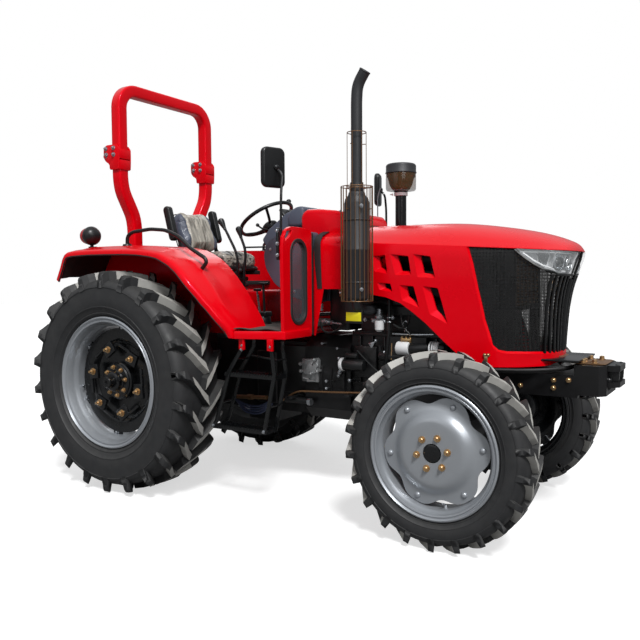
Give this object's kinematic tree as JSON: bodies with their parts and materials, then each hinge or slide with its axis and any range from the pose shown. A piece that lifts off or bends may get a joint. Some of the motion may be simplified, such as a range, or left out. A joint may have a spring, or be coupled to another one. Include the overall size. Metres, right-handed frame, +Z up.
{
  "type": "farm tractor",
  "caption": "Open-station four-wheel-drive farm tractor with folding roll-over hoop, tilting hood, steered front axle and rear three-point hitch.",
  "frame": {"origin": "on the ground, under the middle of the whole length and width", "axes": "+X forward, +Y to the driver's left, +Z up"},
  "size_m": [3.7302, 1.838, 2.65],
  "materials": {
    "red_paint": "gloss",
    "black_paint": "satin",
    "silver_paint": "satin",
    "tyre": "matt",
    "mesh_black": "satin",
    "lamp_clear": "gloss",
    "grey_plastic": "moulded",
    "black_plastic": "moulded",
    "seat_vinyl": "coated vinyl",
    "muffler_grey": "heat-resistant matt",
    "rubber": "matt",
    "clear_glass": "polished",
    "zinc_steel": "zinc plated",
    "amber_lens": "gloss"
  },
  "bodies": {
    "chassis": {"engine_block": "black_paint", "radiator": "black_paint", "gearbox_housing": "black_paint", "rear_axle_housing": "black_paint", "drawbar": "black_paint", "front_support": "black_paint", "front_axle_beam": "black_paint", "cowl": "red_paint", "dash_console": "grey_plastic", "steering_column": "black_plastic", "platform": "red_paint", "leg_shield_right": "red_paint", "leg_shield_left": "red_paint", "rear_fender_right": "red_paint", "rear_fender_left": "red_paint", "seat_base": "black_paint", "seat_cushion": "seat_vinyl", "seat_backrest": "seat_vinyl", "hoop_post_right": "red_paint", "hoop_post_left": "red_paint", "exhaust_stack": "muffler_grey", "air_intake": "muffler_grey", "mirror_right": "black_plastic", "mirror_left": "black_plastic", "gear_levers": "black_plastic", "foot_pedals": "black_plastic", "boarding_step_right": "black_paint", "boarding_step_left": "black_paint"},
    "hood": {"hood": "red_paint", "grille": "mesh_black", "headlight_right": "lamp_clear", "headlight_left": "lamp_clear"},
    "roll_hoop": {"roll_hoop": "red_paint"},
    "steering_wheel": {"steering_wheel": "black_plastic"},
    "knuckle_right": {"steering_knuckle_right": "black_paint"},
    "knuckle_left": {"steering_knuckle_left": "black_paint"},
    "tie_rod": {"tie_rod": "black_paint"},
    "front_wheel_right": {"front_tyre_right": "tyre", "front_wheel_rim_right": "silver_paint"},
    "front_wheel_left": {"front_tyre_left": "tyre", "front_wheel_rim_left": "silver_paint"},
    "rear_wheel_right": {"rear_tyre_right": "tyre", "rear_wheel_rim_right": "silver_paint", "rear_wheel_disc_right": "black_paint"},
    "rear_wheel_left": {"rear_tyre_left": "tyre", "rear_wheel_rim_left": "silver_paint", "rear_wheel_disc_left": "black_paint"},
    "lift_arms": {"lift_arms": "black_paint"},
    "lower_link_right": {"lower_link_right": "black_paint"},
    "lower_link_left": {"lower_link_left": "black_paint"},
    "lift_rod_right": {"lift_rod_right": "black_paint"},
    "lift_rod_left": {"lift_rod_left": "black_paint"}
  },
  "joints": [
    {"name": "rear_wheel_spin_right", "type": "hinge", "parent": "chassis", "child": "rear_wheel_right", "pos_m": [-0.95958, -0.73, 0.688], "axis": [0, 1, 0], "continuous": true},
    {"name": "steer_right", "type": "hinge", "parent": "chassis", "child": "knuckle_right", "pos_m": [1.14042, -0.53, 0.485], "axis": [0, 0, 1], "range_deg": [-35, 35]},
    {"name": "front_wheel_spin_right", "type": "hinge", "parent": "knuckle_right", "child": "front_wheel_right", "pos_m": [1.14042, -0.664, 0.485], "axis": [0, 1, 0], "continuous": true},
    {"name": "rear_wheel_spin_left", "type": "hinge", "parent": "chassis", "child": "rear_wheel_left", "pos_m": [-0.95958, 0.73, 0.688], "axis": [0, 1, 0], "continuous": true},
    {"name": "steer_left", "type": "hinge", "parent": "chassis", "child": "knuckle_left", "pos_m": [1.14042, 0.53, 0.485], "axis": [0, 0, 1], "range_deg": [-35, 35]},
    {"name": "front_wheel_spin_left", "type": "hinge", "parent": "knuckle_left", "child": "front_wheel_left", "pos_m": [1.14042, 0.664, 0.485], "axis": [0, 1, 0], "continuous": true},
    {"name": "tie_rod_pivot", "type": "hinge", "parent": "knuckle_right", "child": "tie_rod", "pos_m": [0.99042, -0.53, 0.435], "axis": [0, 0, 1], "range_deg": [-35, 35]},
    {"name": "steering_wheel_turn", "type": "hinge", "parent": "chassis", "child": "steering_wheel", "pos_m": [-0.37358, 0, 1.718], "axis": [-0.5337, 0, 0.8457], "range_deg": [-350, 350]},
    {"name": "hood_lift", "type": "hinge", "parent": "chassis", "child": "hood", "pos_m": [0.48242, 0, 1.606], "axis": [0, -1, 0], "range_deg": [0, 55]},
    {"name": "hoop_fold", "type": "hinge", "parent": "chassis", "child": "roll_hoop", "pos_m": [-1.35158, 0, 2.165], "axis": [0, -1, 0], "range_deg": [0, 110]},
    {"name": "hitch_lift", "type": "hinge", "parent": "chassis", "child": "lift_arms", "pos_m": [-1.03958, 0, 1.045], "axis": [0, 1, 0], "range_deg": [-8, 45]},
    {"name": "lower_link_lift_right", "type": "hinge", "parent": "chassis", "child": "lower_link_right", "pos_m": [-1.03958, -0.212, 0.49], "axis": [0, 1, 0], "range_deg": [-8, 45]},
    {"name": "lift_rod_pivot_right", "type": "hinge", "parent": "lift_arms", "child": "lift_rod_right", "pos_m": [-1.37441, -0.25, 0.98596], "axis": [0, 1, 0], "range_deg": [-45, 8]},
    {"name": "lower_link_lift_left", "type": "hinge", "parent": "chassis", "child": "lower_link_left", "pos_m": [-1.03958, 0.212, 0.49], "axis": [0, 1, 0], "range_deg": [-8, 45]},
    {"name": "lift_rod_pivot_left", "type": "hinge", "parent": "lift_arms", "child": "lift_rod_left", "pos_m": [-1.37441, 0.25, 0.98596], "axis": [0, 1, 0], "range_deg": [-45, 8]}
  ],
  "couplings": [
    {"joint": "steer_left", "follows": "steer_right", "ratio": 1},
    {"joint": "tie_rod_pivot", "follows": "steer_right", "ratio": -1},
    {"joint": "steering_wheel_turn", "follows": "steer_right", "ratio": 10},
    {"joint": "lower_link_lift_right", "follows": "hitch_lift", "ratio": 1},
    {"joint": "lift_rod_pivot_right", "follows": "hitch_lift", "ratio": -1},
    {"joint": "lower_link_lift_left", "follows": "hitch_lift", "ratio": 1},
    {"joint": "lift_rod_pivot_left", "follows": "hitch_lift", "ratio": -1}
  ]
}
